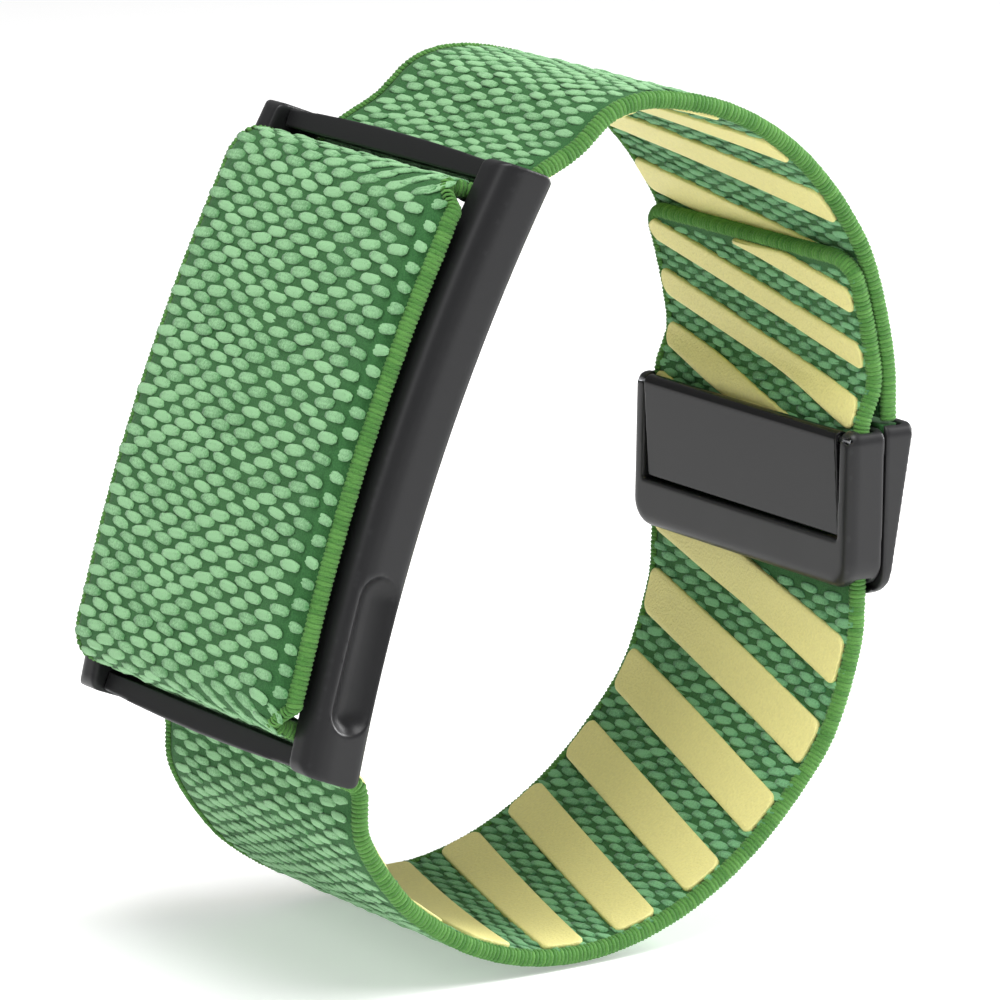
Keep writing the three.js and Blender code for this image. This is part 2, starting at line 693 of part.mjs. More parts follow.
add(buckle, "buckle_body", makeBody(), plastic);
add(buckle, "lock_lever", makeLever(), { color: 0x262626, roughness: 0.22, metalness: 0 });
add(buckle, "lever_pin", pin(barrelX, barrelZ), steel);

// ---- Outer clip, the strap's end in it, and the catch ----

const clipOuterTop = clipInner + CLIP_THICK_TOP;
const clipOuterBottom = clipInner + CLIP_THICK_BOTTOM;

// The clip's outer face at a height.
function clipOuterAt(z) {
  const toe = CHIN[0] + CLIP_TOE;
  const share = (z - toe) / (CLIP_TOP - toe);
  return clipOuterBottom + share * (clipOuterTop - clipOuterBottom);
}

function makeClip() {
  const lipTop = CHIN[0] - CLIP_UNDER;
  const lipBottom = lipTop - CLIP_LIP;
  const lipInner = slotHigh + FIT;
  const shape = new THREE.Shape();
  shape.moveTo(lipInner, lipBottom);
  shape.lineTo(clipInner, lipBottom);
  shape.quadraticCurveTo(clipOuterBottom, lipBottom, clipOuterBottom, CHIN[0] + CLIP_TOE);
  shape.lineTo(clipOuterTop, CLIP_TOP);
  shape.lineTo(clipInner, CLIP_TOP);
  shape.lineTo(clipInner, lipTop);
  shape.lineTo(lipInner, lipTop);
  const block = slab(shape, 2 * bodyHalf);
  const outline = roundedRectangle(-bodyHalf, lipBottom, bodyHalf, CLIP_TOP, BODY_CORNER, BODY_TOP_CORNER);
  const trimmed = common(block, plate(outline, 2 * clipOuterTop));
  const pocketTop = CLIP_TOP + CLIP_LIP;
  const hollow = new THREE.Shape();
  hollow.moveTo(slotHigh, POCKET_FLOOR);
  hollow.lineTo(clipOuterAt(POCKET_FLOOR) - CLIP_WALL, POCKET_FLOOR);
  hollow.lineTo(clipOuterAt(pocketTop) - CLIP_WALL, pocketTop);
  hollow.lineTo(slotHigh, pocketTop);
  const room = slab(hollow, STRAP_WIDTH + 2 * SLOT_GAP);
  const bore = pinBore(anchorX, ANCHOR_UP);
  return cut(trimmed, room, bore);
}

function makeEndTab() {
  const high = CLIP_TOP - TAB_TOP;
  const shape = new THREE.Shape();
  shape.moveTo(clipInner + FIT, TAB_FLOOR);
  shape.lineTo(clipOuterAt(TAB_FLOOR) - CLIP_WALL - FIT, TAB_FLOOR);
  shape.lineTo(clipOuterAt(high) - CLIP_WALL - FIT, high);
  shape.lineTo(clipInner + FIT, high);
  const bore = rod(PIN_RADIUS + PIN_GAP, FAR_OUT, anchorX, ANCHOR_UP);
  return cut(slab(shape, STRAP_WIDTH - 2 * TAB_SIDE), bore);
}

const anchorX = (clipInner + clipOuterAt(ANCHOR_UP) - CLIP_WALL) / 2;
add(buckle, "outer_clip", makeClip(), plastic);
add(buckle, "strap_end_tab", makeEndTab(), { color: 0x3f7a3a, roughness: 0.9, metalness: 0 });
add(buckle, "anchor_pin", pin(anchorX, ANCHOR_UP), steel);
const [catchWide, catchTall, catchThick] = CATCH;
const catchLeaf = box(
  [bodyThick - catchThick, -catchWide / 2, CATCH_UP],
  [bodyThick, catchWide / 2, CATCH_UP + catchTall],
);
add(buckle, "clip_catch", catchLeaf, steel);

const group = new THREE.Group();
group.add(turned);
export default group;
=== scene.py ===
"""A woven wrist strap that carries a sensor pod in a moulded frame, closed by a slider buckle with a
lock lever and a hooked outer clip. Metres, +Z up, the origin in the middle of the wrist opening."""

import math

import bmesh
import bpy
import numpy as np
from mathutils import Matrix, Vector


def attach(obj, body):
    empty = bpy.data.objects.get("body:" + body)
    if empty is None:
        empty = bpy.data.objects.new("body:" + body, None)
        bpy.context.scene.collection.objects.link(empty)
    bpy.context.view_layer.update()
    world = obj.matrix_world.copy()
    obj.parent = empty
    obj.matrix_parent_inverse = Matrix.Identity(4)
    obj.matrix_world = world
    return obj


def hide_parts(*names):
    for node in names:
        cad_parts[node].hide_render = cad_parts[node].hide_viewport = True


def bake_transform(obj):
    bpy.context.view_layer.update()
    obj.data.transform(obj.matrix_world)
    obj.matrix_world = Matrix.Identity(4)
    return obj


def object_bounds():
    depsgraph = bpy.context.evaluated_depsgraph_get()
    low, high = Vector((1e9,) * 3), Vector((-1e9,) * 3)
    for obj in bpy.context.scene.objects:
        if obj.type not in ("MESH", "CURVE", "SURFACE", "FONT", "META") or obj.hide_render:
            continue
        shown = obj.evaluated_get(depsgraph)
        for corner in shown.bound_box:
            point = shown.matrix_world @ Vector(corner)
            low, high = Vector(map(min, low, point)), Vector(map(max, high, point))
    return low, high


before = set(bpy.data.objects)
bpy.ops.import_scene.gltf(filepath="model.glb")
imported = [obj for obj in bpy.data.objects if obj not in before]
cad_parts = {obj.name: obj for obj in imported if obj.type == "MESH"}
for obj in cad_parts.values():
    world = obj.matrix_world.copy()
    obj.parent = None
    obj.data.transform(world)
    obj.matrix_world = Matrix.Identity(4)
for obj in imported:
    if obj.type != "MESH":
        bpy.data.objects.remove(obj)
cad_low, cad_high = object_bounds()
scene = bpy.context.scene
MM = 0.001


# ---- Camera, floor and light ----
# The strap stands on its lowest stretch on a pale table, inside a light tent with a large soft box
# overhead and one on each side.

LENS, SENSOR = 252.0, 36.0
CAMERA_PLACE = Vector((-265.6, -394.1, 110.0)) * MM
CAMERA_RIGHT = Vector((0.8323, -0.5543, 0.0))
CAMERA_UP = Vector((0.1243, 0.1868, 0.9745))

camera_data = bpy.data.cameras.new("camera")
camera_data.lens = LENS
camera_data.sensor_width = SENSOR
camera_data.clip_start = 0.01
camera = bpy.data.objects.new("camera", camera_data)
scene.collection.objects.link(camera)
right = CAMERA_RIGHT.normalized()
up = (CAMERA_UP - CAMERA_UP.dot(right) * right).normalized()
turn = Matrix((right, up, right.cross(up))).transposed()
camera.matrix_world = Matrix.Translation(CAMERA_PLACE) @ turn.to_4x4()
scene.camera = camera


def new_object(name, mesh):
    piece = bpy.data.objects.new(name, mesh)
    scene.collection.objects.link(piece)
    return piece


FLOOR_DROP = 0.3 * MM
FLOOR_HALF = 2
floor_z = cad_low.z - FLOOR_DROP
floor_corners = [(x * FLOOR_HALF, y * FLOOR_HALF, floor_z) for x, y in ((-1, -1), (1, -1), (1, 1), (-1, 1))]
floor_mesh = bpy.data.meshes.new("floor")
floor_mesh.from_pydata(floor_corners, [], [(0, 1, 2, 3)])
floor = new_object("floor", floor_mesh)
paper = bpy.data.materials.new("white_paper")
paper.use_nodes = True
paper_shader = paper.node_tree.nodes["Principled BSDF"]
paper_shader.inputs["Base Color"].default_value = (0.93, 0.93, 0.93, 1)
paper_shader.inputs["Roughness"].default_value = 0.9
paper_shader.inputs["Specular IOR Level"].default_value = 0.1
paper_shader.inputs["Emission Color"].default_value = (1, 1, 1, 1)
paper_shader.inputs["Emission Strength"].default_value = 0.34
floor_mesh.materials.append(paper)

world = bpy.data.worlds.new("tent")
world.use_nodes = True
world.node_tree.nodes["Background"].inputs["Color"].default_value = (1, 1, 1, 1)
world.node_tree.nodes["Background"].inputs["Strength"].default_value = 0.31
scene.world = world
scene.view_settings.view_transform = "Standard"


def soft_box(name, place, size, watts):
    """A soft box that points at the middle of the wrist opening."""
    lamp = bpy.data.lights.new(name, "AREA")
    lamp.shape = "RECTANGLE"
    lamp.size, lamp.size_y = size
    lamp.energy = watts
    box = bpy.data.objects.new(name, lamp)
    box.location = place
    box.rotation_euler = (-Vector(place)).to_track_quat("-Z", "Y").to_euler()
    scene.collection.objects.link(box)


soft_box("soft_box_top", place=(-0.05, -0.10, 0.42), size=(0.30, 0.30), watts=1.8)
soft_box("soft_box_left", place=(-0.42, -0.18, 0.30), size=(0.20, 0.34), watts=0.45)
soft_box("soft_box_right", place=(0.40, -0.08, 0.14), size=(0.12, 0.30), watts=2.4)


# ---- Frame: two side rails and two end bars ----
# Injection-moulded in a glass-filled polymer with a fine satin spark finish, and snapped together
# at the corners. The near rail has a thumb recess for drawing the pod out.

# How much lighter the painted highlight makes the sharp edges of the plastic.
EDGE_HIGHLIGHT_LIFT = 1.35
SAME_PLACE = 1e-7


def links(tree):
    """A short way to join node sockets in one tree."""
    return lambda a, b: tree.links.new(a, b)


def plastic(name, colour, roughness, grain=0.05, gloss=0.32):
    """Moulded plastic: a fine grain in its bump, roughness that varies, and a painted highlight that
    lightens its sharp edges.
    """
    made = bpy.data.materials.new(name)
    made.use_nodes = True
    tree = made.node_tree
    join = links(tree)
    shader = tree.nodes["Principled BSDF"]
    shader.inputs["Specular IOR Level"].default_value = gloss
    place = tree.nodes.new("ShaderNodeTexCoord")
    fine = tree.nodes.new("ShaderNodeTexNoise")
    fine.inputs["Scale"].default_value = 9000
    fine.inputs["Detail"].default_value = 2
    join(place.outputs["Object"], fine.inputs["Vector"])
    bump = tree.nodes.new("ShaderNodeBump")
    bump.inputs["Strength"].default_value = grain
    bump.inputs["Distance"].default_value = 0.00004
    join(fine.outputs["Fac"], bump.inputs["Height"])
    join(bump.outputs["Normal"], shader.inputs["Normal"])
    cloudy = tree.nodes.new("ShaderNodeTexNoise")
    cloudy.inputs["Scale"].default_value = 260
    cloudy.inputs["Detail"].default_value = 4
    join(place.outputs["Object"], cloudy.inputs["Vector"])
    rough = tree.nodes.new("ShaderNodeMapRange")
    rough.inputs["To Min"].default_value = roughness - 0.05
    rough.inputs["To Max"].default_value = roughness + 0.05
    join(cloudy.outputs["Fac"], rough.inputs["Value"])
    join(rough.outputs["Result"], shader.inputs["Roughness"])
    # Painted highlight: sharp convex edges are painted lighter, standing in for the light that they catch.
    edges = tree.nodes.new("ShaderNodeNewGeometry")
    edge_highlight = tree.nodes.new("ShaderNodeValToRGB")
    edge_highlight.color_ramp.elements[0].position = 0.5
    edge_highlight.color_ramp.elements[0].color = colour + (1,)
    edge_highlight.color_ramp.elements[1].position = 0.62
    edge_highlight.color_ramp.elements[1].color = tuple(c * EDGE_HIGHLIGHT_LIFT for c in colour) + (1,)
    join(edges.outputs["Pointiness"], edge_highlight.inputs["Fac"])
    join(edge_highlight.outputs["Color"], shader.inputs["Base Color"])
    return made


def moulded(name, node, finish, body, voxel, passes):
    """A node's shape as it leaves the mould, with every edge softened by remeshing and smoothing.

    voxel is the finest detail kept, in mm, and passes is how often the surface is smoothed."""
    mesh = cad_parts[node].data.copy()
    mesh.name = name
    work = bmesh.new()
    work.from_mesh(mesh)
    bmesh.ops.remove_doubles(work, verts=work.verts, dist=SAME_PLACE)
    work.to_mesh(mesh)
    work.free()
    mesh.materials.clear()
    draft = new_object(name + "_draft", mesh)
    skin = draft.modifiers.new("remesh", "REMESH")
    skin.mode = "VOXEL"
    skin.voxel_size = voxel * MM
    soft = draft.modifiers.new("soften", "SMOOTH")
    soft.factor = 0.5
    soft.iterations = passes
    graph = bpy.context.evaluated_depsgraph_get()
    final = bpy.data.meshes.new_from_object(draft.evaluated_get(graph))
    bpy.data.objects.remove(draft)
    final.name = name
    piece = new_object(name, final)
    final.materials.clear()
    final.materials.append(finish)
    final.shade_smooth()
    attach(piece, body)
    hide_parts(node)
    return piece


satin = plastic("satin_plastic", (0.014, 0.014, 0.015), roughness=0.36)
for rail in ("side_rail_near", "side_rail_far"):
    moulded(rail + "_moulding", rail, satin, "band", voxel=0.13, passes=10)
for bar in ("end_bar_upper", "end_bar_lower"):
    moulded(bar + "_moulding", bar, satin, "band", voxel=0.1, passes=4)


# ---- Sensor pod ----
# Two moulded case halves on a thin rubber gasket. The skin-side half carries a polished optical
# window and three plated charge contacts; the boards, cell and motor lie inside.

pod_satin = plastic("pod_plastic", (0.015, 0.015, 0.016), roughness=0.36)
for half in ("pod_front", "pod_skin"):
    moulded(half + "_moulding", half + "_case", pod_satin, "sensor_pod", voxel=0.2, passes=4)


def simple(name, colour, roughness, metallic=0.0, scale=700, spread=0.15, bump=0.1, coat=0.0,
           depth=0.00003):
    """A plain finish with cloudy colour, roughness to match and a fine bump."""
    made = bpy.data.materials.new(name)
    made.use_nodes = True
    tree = made.node_tree
    join = links(tree)
    shader = tree.nodes["Principled BSDF"]
    shader.inputs["Metallic"].default_value = metallic
    shader.inputs["Coat Weight"].default_value = coat
    place = tree.nodes.new("ShaderNodeTexCoord")
    cloud = tree.nodes.new("ShaderNodeTexNoise")
    cloud.inputs["Scale"].default_value = scale
    cloud.inputs["Detail"].default_value = 5
    join(place.outputs["Object"], cloud.inputs["Vector"])
    tint = tree.nodes.new("ShaderNodeValToRGB")
    tint.color_ramp.elements[0].position = 0.3
    tint.color_ramp.elements[0].color = tuple(c * (1 - spread) for c in colour) + (1,)
    tint.color_ramp.elements[1].position = 0.7
    tint.color_ramp.elements[1].color = tuple(min(1, c * (1 + spread)) for c in colour) + (1,)
    join(cloud.outputs["Fac"], tint.inputs["Fac"])
    join(tint.outputs["Color"], shader.inputs["Base Color"])
    rough = tree.nodes.new("ShaderNodeMapRange")
    rough.inputs["To Min"].default_value = roughness * 0.85
    rough.inputs["To Max"].default_value = roughness * 1.15
    join(cloud.outputs["Fac"], rough.inputs["Value"])
    join(rough.outputs["Result"], shader.inputs["Roughness"])
    relief = tree.nodes.new("ShaderNodeBump")
    relief.inputs["Strength"].default_value = bump
    relief.inputs["Distance"].default_value = depth
    join(cloud.outputs["Fac"], relief.inputs["Height"])
    join(relief.outputs["Normal"], shader.inputs["Normal"])
    return made


board = simple("board_lacquer", (0.02, 0.16, 0.07), 0.35, scale=2500, bump=0.3)
steel = simple("drawn_steel", (0.55, 0.56, 0.58), 0.28, metallic=1.0, scale=3000)
gold = simple("gold_plate", (0.9, 0.62, 0.2), 0.2, metallic=1.0, scale=4000)
green_lamp = simple("lamp_green", (0.25, 0.7, 0.3), 0.2)
receiver = simple("receiver_glaze", (0.02, 0.03, 0.09), 0.15)
POD_FINISHES = {
    "case_gasket": simple("gasket_rubber", (0.02, 0.02, 0.02), 0.8),
    "sensor_window": simple("window_glass", (0.006, 0.007, 0.009), 0.06, spread=0.3, bump=0.01, coat=1.0),
    "optical_baffle": simple("baffle_black", (0.01, 0.01, 0.01), 0.9),
    "led_red": simple("lamp_red", (0.6, 0.06, 0.04), 0.2),
    "led_infrared": simple("lamp_dark", (0.05, 0.02, 0.05), 0.2),
    "sensor_board": board,
    "main_board": board,
    "battery_cell": simple("cell_foil", (0.6, 0.61, 0.63), 0.35, metallic=0.9, scale=1500, bump=0.4),
    "haptic_motor": steel,
    "flex_link": simple("amber_film", (0.6, 0.25, 0.04), 0.4),
}
POD_FINISHES.update({f"charge_contact_{count}": gold for count in (1, 2, 3)})
POD_FINISHES.update({f"led_{count}": green_lamp for count in (1, 2, 3)})
POD_FINISHES.update({f"photodiode_{count}": receiver for count in (1, 2, 3, 4)})


def give_finish(node, finish):
    """The finish of a node that shows in its own shape."""
    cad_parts[node].data.materials.clear()
    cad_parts[node].data.materials.append(finish)


for node, finish in POD_FINISHES.items():
    give_finish(node, finish)


# ---- Buckle: slotted body, lock lever on its pin, and the hooked outer clip ----
# Three satin mouldings. The lever is polished, turns on a steel pin in the body's flanges and
# presses the strap in the slot; the clip hooks under the body and snaps over a leaf catch.

polished = plastic("polished_plastic", (0.005, 0.005, 0.0055), roughness=0.2, grain=0.01, gloss=0.28)
buckle_satin = plastic("buckle_plastic", (0.018, 0.018, 0.019), roughness=0.34)
moulded("buckle_body_moulding", "buckle_body", buckle_satin, "band",
        voxel=0.13, passes=6)
moulded("lock_lever_moulding", "lock_lever", polished, "lever",
        voxel=0.08, passes=6)
moulded("outer_clip_moulding", "outer_clip", buckle_satin, "clip",
        voxel=0.1, passes=8)
for node in ("lever_pin", "anchor_pin", "clip_catch"):
    give_finish(node, steel)


# ---- Strap web: one woven ribbon, laid over the pod and round the wrist ----
# Polyester yarn woven 25 mm wide and 1.1 mm thick. It starts in the outer clip, passes behind the
# upper bar, covers the pod, passes behind the lower bar, and comes up through the buckle's slot.

# All in mm. x runs from the frame towards the buckle and z up the frame, before the whole is leant.
STRAP_HALF = 12.5
LEAN = math.radians(21.6)
WRIST_TO_FRAME = 22.0
LOOP_MIDDLE, LOOP_DEPTH, LOOP_HEIGHT, LOOP_SKEW = 19.5, 24.3, 29.7, 0.026
UPPER_ARC, LOWER_ARC = (54, 110), (-107, -17)
UPPER_STEPS, LOWER_STEPS, ROUTE_STEPS = 7, 11, 24
COVER_MIDDLE, POD_HALF, POD_SHOULDER, ARCH_RADIUS = -4.05, 17.35, 15.05, 140.0
BUCKLE_X, BUCKLE_Z, BUCKLE_LEAN = 38.1, 5.9, math.radians(20.4)
STRAP_THICK, LAYER_GAP, STRAP_IN_BUCKLE = 1.1, 0.12, 1.8
TAIL_JOINS, TAIL_LENGTH, TAIL_SHARES = 2.5, 12.8, (0, 0.3, 0.55, 0.8, 1)
LOOK_AHEAD = 0.2


def in_buckle(out, up):
    """A point given by how far it lies outside the buckle's inner face, and how far up the buckle."""
    c, s = math.cos(BUCKLE_LEAN), math.sin(BUCKLE_LEAN)
    return (BUCKLE_X + out * c - up * s, BUCKLE_Z + out * s + up * c)


def on_loop(degrees):
    """A point of the free loop, a slightly skewed ellipse."""
    a = math.radians(degrees)
    p = 1 - LOOP_SKEW * math.sin(2 * a)
    return (LOOP_MIDDLE + LOOP_DEPTH * p * math.cos(a), LOOP_HEIGHT * p * math.sin(a))


def arched(x, z):
    """The pod and what lies on it bow to fit the wrist."""
    return x + z * z / (2 * ARCH_RADIUS)


def smooth_route(points, steps):
    """A centripetal Catmull-Rom curve through the points."""
    p = np.array(points, float)
    p = np.vstack([2 * p[0] - p[1], p, 2 * p[-1] - p[-2]])
    curve = []
    for before, a, b, after in zip(p, p[1:], p[2:], p[3:]):
        d0, d1, d2 = (math.sqrt(np.linalg.norm(v)) for v in (a - before, b - a, after - b))
        leave = ((a - before) / d0 - (b - before) / (d0 + d1) + (b - a) / d1) * d1
        arrive = ((b - a) / d1 - (after - a) / (d1 + d2) + (after - b) / d2) * d1
        for k in range(steps):
            t = k / steps
            cubic = (2 * a - 2 * b + leave + arrive) * t**3
            curve.append(cubic + (3 * b - 3 * a - 2 * leave - arrive) * t * t + leave * t + a)
    curve.append(p[-2])
    return np.array(curve)


def lengths(curve):
    """The distance along a curve at each of its points."""
    return np.concatenate([[0], np.cumsum(np.linalg.norm(np.diff(curve, axis=0), axis=1))])


def arc(limits, steps):
    """Points along the free loop between two angles."""
    first, last = limits
    return [on_loop(first + (last - first) * k / steps) for k in range(steps + 1)]


# Round the pod's end: past the bar, up to the pod's rim, and down on to its flat front.
pod_end = [(4.5, 21.0), (3.9, 19.7), (2.7, 18.9), (0.5, 18.85), (-0.9, 18.85), (-2.15, 18.6)]
pod_end.append((arched(COVER_MIDDLE, POD_HALF) + 0.02, 17.5))
pod_end.append((arched(COVER_MIDDLE, POD_SHOULDER), POD_SHOULDER))
upper_points = [in_buckle(4.02, 6.65), in_buckle(3.77, 10.8)] + arc(UPPER_ARC, UPPER_STEPS)
upper_curve = smooth_route(upper_points, ROUTE_STEPS)
strap_points = upper_points + [(8.85, 26.8), (7.05, 23.8)] + pod_end
strap_points += [(arched(COVER_MIDDLE, z), z) for z in (POD_HALF / 2, 0, -POD_HALF / 2)]
strap_points += [(x, -z) for x, z in reversed(pod_end)] + [(6.1, -21.35), (7.7, -24.55)]
strap_points += arc(LOWER_ARC, LOWER_STEPS)
strap_points += [in_buckle(1.65, -9.2), in_buckle(STRAP_IN_BUCKLE, -6.7)]
strap_points += [in_buckle(STRAP_IN_BUCKLE, 0.35), in_buckle(STRAP_IN_BUCKLE, 6.3)]

# The free end lies one layer inside the strap's first stretch.
upper_along = lengths(upper_curve)
inward = STRAP_THICK + LAYER_GAP
for share in TAIL_SHARES:
    distance = TAIL_JOINS + share * (TAIL_LENGTH - TAIL_JOINS)
    px, pz = (np.interp(distance, upper_along, upper_curve[:, k]) for k in (0, 1))
    qx, qz = (np.interp(distance + LOOK_AHEAD, upper_along, upper_curve[:, k]) for k in (0, 1))
    step = math.hypot(qx - px, qz - pz)
    strap_points.append((px - (qz - pz) / step * inward, pz + (qx - px) / step * inward))
route = smooth_route(strap_points, ROUTE_STEPS)
along = lengths(route)
STRAP_END = along[-1]
halfway = along[np.argmin(np.hypot(route[:, 0] - COVER_MIDDLE, route[:, 1]))]
slopes = np.gradient(route, along, axis=0)
slopes /= np.linalg.norm(slopes, axis=1)[:, None]


def row_direction(x, z):
    """A direction in the frame's own axes, turned to how the frame leans."""
    c, s = math.cos(LEAN), math.sin(LEAN)
    return Vector((x * c + z * s, 0, -x * s + z * c))


# Over the pod the cloth is pressed wider, more so on its near side, and its edges droop.
COVER_NEAR, COVER_FAR = 14.5, 12.9
COVER_FULL, COVER_TAPERED = 17.8, 19.4
EDGE_DROOP, DROOP_FROM = 0.8, 12.0


def over_pod(s):
    """How far the strap is pressed wide: 1 over the pod's flat front, falling to 0 at its ends."""
    share = (COVER_TAPERED - abs(s - halfway)) / (COVER_TAPERED - COVER_FULL)
    share = min(1.0, max(0.0, share))
    return share * share * (3 - 2 * share)


def on_strap(s, y, out=0.0):
    """The place and the outward direction, s mm along the strap, y mm across it, out mm off it."""
    share = over_pod(s)
    wide = COVER_FAR if y > 0 else COVER_NEAR
    y *= 1 + share * (wide / STRAP_HALF - 1)
    past = (abs(y) - DROOP_FROM) / (COVER_NEAR - DROOP_FROM)
    out -= share * EDGE_DROOP * min(1.0, max(0.0, past))
    x, z = (np.interp(s, along, route[:, k]) for k in (0, 1))
    tx, tz = (np.interp(s, along, slopes[:, k]) for k in (0, 1))
    outward = row_direction(tz, -tx).normalized()
    place = row_direction(x - WRIST_TO_FRAME, z) + Vector((0, y, 0)) + outward * out
    return place * MM, outward


# The web is cut in three lengths that meet between the bars and the pod's ends.
COVER_REACH = 22.6
COVER_STARTS, COVER_ENDS = halfway - COVER_REACH, halfway + COVER_REACH
LENGTHS = {
    "upper": (0.0, COVER_STARTS),
    "cover": (COVER_STARTS, COVER_ENDS),
    "lower": (COVER_ENDS, STRAP_END),
}
CORNER = 2.2
GROUND, GROUND_SIDE, GROUND_INSET = 0.46, 0.3, 0.15
SECTION_STEP, SECTION_HALF = 0.4, 12
END_SECTIONS = (0.5, 0.38, 0.3, 0.24, 0.2)


def half_width(s, inset):
    """Half the width of the ground, inset mm inside the strap's outline with its rounded free end."""
    left = STRAP_END - inset - s
    if left >= CORNER:
        return STRAP_HALF - inset
    return STRAP_HALF - inset - CORNER + math.sqrt(max(0.0, CORNER**2 - (CORNER - max(0, left))**2))


def solid_from_rings(rings):
    """A closed shape through rings of points, with its ends capped."""
    count = len(rings[0])
    verts = [p for ring in rings for p in ring]
    faces = [tuple(range(count)), tuple(reversed(range(len(verts) - count, len(verts))))]
    for r in range(len(rings) - 1):
        for k in range(count):
            a, b = r * count + k, r * count + (k + 1) % count
            faces.append((a, b, b + count, a + count))
    return verts, faces


def mesh_of(name, parts):
    """One mesh from several closed shapes, its faces turned outwards."""
    verts, faces = [], []
    for part_verts, part_faces in parts:
        shift = len(verts)
        verts += part_verts
        faces += [tuple(i + shift for i in face) for face in part_faces]
    mesh = bpy.data.meshes.new(name)
    mesh.from_pydata(verts, [], faces)
    work = bmesh.new()
    work.from_mesh(mesh)
    bmesh.ops.recalc_face_normals(work, faces=work.faces)
    work.to_mesh(mesh)
    work.free()
    mesh.shade_smooth()
    return mesh


def web_rings(first, last):
    """Sections of the ground from first to last: flat faces and rounded edges."""
    rings = []
    stops = list(np.linspace(first, last, int((last - first) / SECTION_STEP) + 1))
    if last == STRAP_END:
        stops = [s for s in stops if s < STRAP_END - END_SECTIONS[0]]
        stops += [STRAP_END - left for left in END_SECTIONS]
    for s in stops:
        half = half_width(s, GROUND_INSET)
        across = [half * k / SECTION_HALF for k in range(1 - SECTION_HALF, SECTION_HALF)]
        ring = [on_strap(s, y, GROUND)[0] for y in across]
        ring += [on_strap(s, half, side)[0] for side in (GROUND_SIDE, 0, -GROUND_SIDE)]
        ring += [on_strap(s, y, -GROUND)[0] for y in reversed(across)]
        ring += [on_strap(s, -half, side)[0] for side in (-GROUND_SIDE, 0, GROUND_SIDE)]
        rings.append(ring)
    return rings


# How much each float's random tone and the painted shade from its crown add to the yarn's colour.
SHADE_SHARE, CROWN_SHADE_SHARE = 0.3, 0.42


def yarn(name, dark, light, scale, bump, sheen, first_tone=0.35, last_tone=0.85):
    """Dyed yarn: each float a little lighter or darker at random, painted darker at its foot than on its
    crown as shade, with fine fibres in colour and bump.
    """
    made = bpy.data.materials.new(name)
    made.use_nodes = True
    tree = made.node_tree
    join = links(tree)
    shader = tree.nodes["Principled BSDF"]
    shader.inputs["Roughness"].default_value = 0.85
    shader.inputs["Specular IOR Level"].default_value = 0.25
    shader.inputs["Sheen Weight"].default_value = sheen
    shader.inputs["Sheen Roughness"].default_value = 0.5
    place = tree.nodes.new("ShaderNodeTexCoord")
    fibres = tree.nodes.new("ShaderNodeTexNoise")
    fibres.inputs["Scale"].default_value = scale
    fibres.inputs["Detail"].default_value = 3
    fibres.inputs["Roughness"].default_value = 0.7
    join(place.outputs["Object"], fibres.inputs["Vector"])
    shade = tree.nodes.new("ShaderNodeAttribute")
    shade.attribute_name = "shade"
    blend = tree.nodes.new("ShaderNodeMath")
    blend.operation = "MULTIPLY_ADD"
    blend.inputs[1].default_value = SHADE_SHARE
    join(shade.outputs["Fac"], blend.inputs[0])
    join(fibres.outputs["Fac"], blend.inputs[2])
    # Painted shade: each float is painted darker towards its foot and ends and lighter on its crown,
    # standing in for shade where it meets the ground.
    crown_shade = tree.nodes.new("ShaderNodeAttribute")
    crown_shade.attribute_name = "crown_shade"
    crown_shaded = tree.nodes.new("ShaderNodeMath")
    crown_shaded.operation = "MULTIPLY_ADD"
    crown_shaded.inputs[1].default_value = CROWN_SHADE_SHARE
    join(crown_shade.outputs["Fac"], crown_shaded.inputs[0])
    join(blend.outputs["Value"], crown_shaded.inputs[2])
    ramp = tree.nodes.new("ShaderNodeValToRGB")
    ramp.color_ramp.elements[0].position = first_tone
    ramp.color_ramp.elements[0].color = dark + (1,)
    ramp.color_ramp.elements[1].position = last_tone
    ramp.color_ramp.elements[1].color = light + (1,)
    join(crown_shaded.outputs["Value"], ramp.inputs["Fac"])
    join(ramp.outputs["Color"], shader.inputs["Base Color"])
    relief = tree.nodes.new("ShaderNodeBump")
    relief.inputs["Strength"].default_value = bump
    relief.inputs["Distance"].default_value = 0.00012
    join(fibres.outputs["Fac"], relief.inputs["Height"])
    join(relief.outputs["Normal"], shader.inputs["Normal"])
    return made


ground_yarn = yarn("ground_yarn", (0.02, 0.10, 0.025), (0.06, 0.22, 0.06),
                   scale=9000, bump=0.5, sheen=0.1)

# The strap would bend over this stretch when the clip swings out; only the stretch's two ends are found
# here, and nothing bends the strap.
BEND_STARTS, BEND_ENDS = 19, 3
CLIP_BLEND_FROM = on_strap(BEND_STARTS, 0)[0]
CLIP_BLEND_TO = on_strap(BEND_ENDS, 0)[0]


def dress(name, mesh, finish, length):
    """Adds a piece of the strap to the scene and hangs it where that length of the strap goes."""
    piece = new_object(name, mesh)
    mesh.materials.clear()
    mesh.materials.append(finish)
    mesh.shade_smooth()
    if length == "upper":
        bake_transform(piece)
    else:
        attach(piece, "band")
    return piece


for length, (first, last) in LENGTHS.items():
    web_mesh = mesh_of("web_" + length, [solid_from_rings(web_rings(first, last))])
    dress("strap_web_" + length, web_mesh, ground_yarn, length)
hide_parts("strap")

# The ribbon's end is folded back and sewn into a stiff tab, which the clip's anchor pin holds.
moulded("strap_end_fold", "strap_end_tab", ground_yarn, "clip", voxel=0.12, passes=3)


# ---- Floats: the light yarn that passes over two ends on each face of the weave ----
# Soft-spun polyester, beaten up in staggered columns along the strap. Each float is a flat bundle of
# strands that lies across the strap and swells in its middle.

FLOAT_LONG, FLOAT_WIDE, FLOAT_RISE = 2.6, 0.86, 0.34
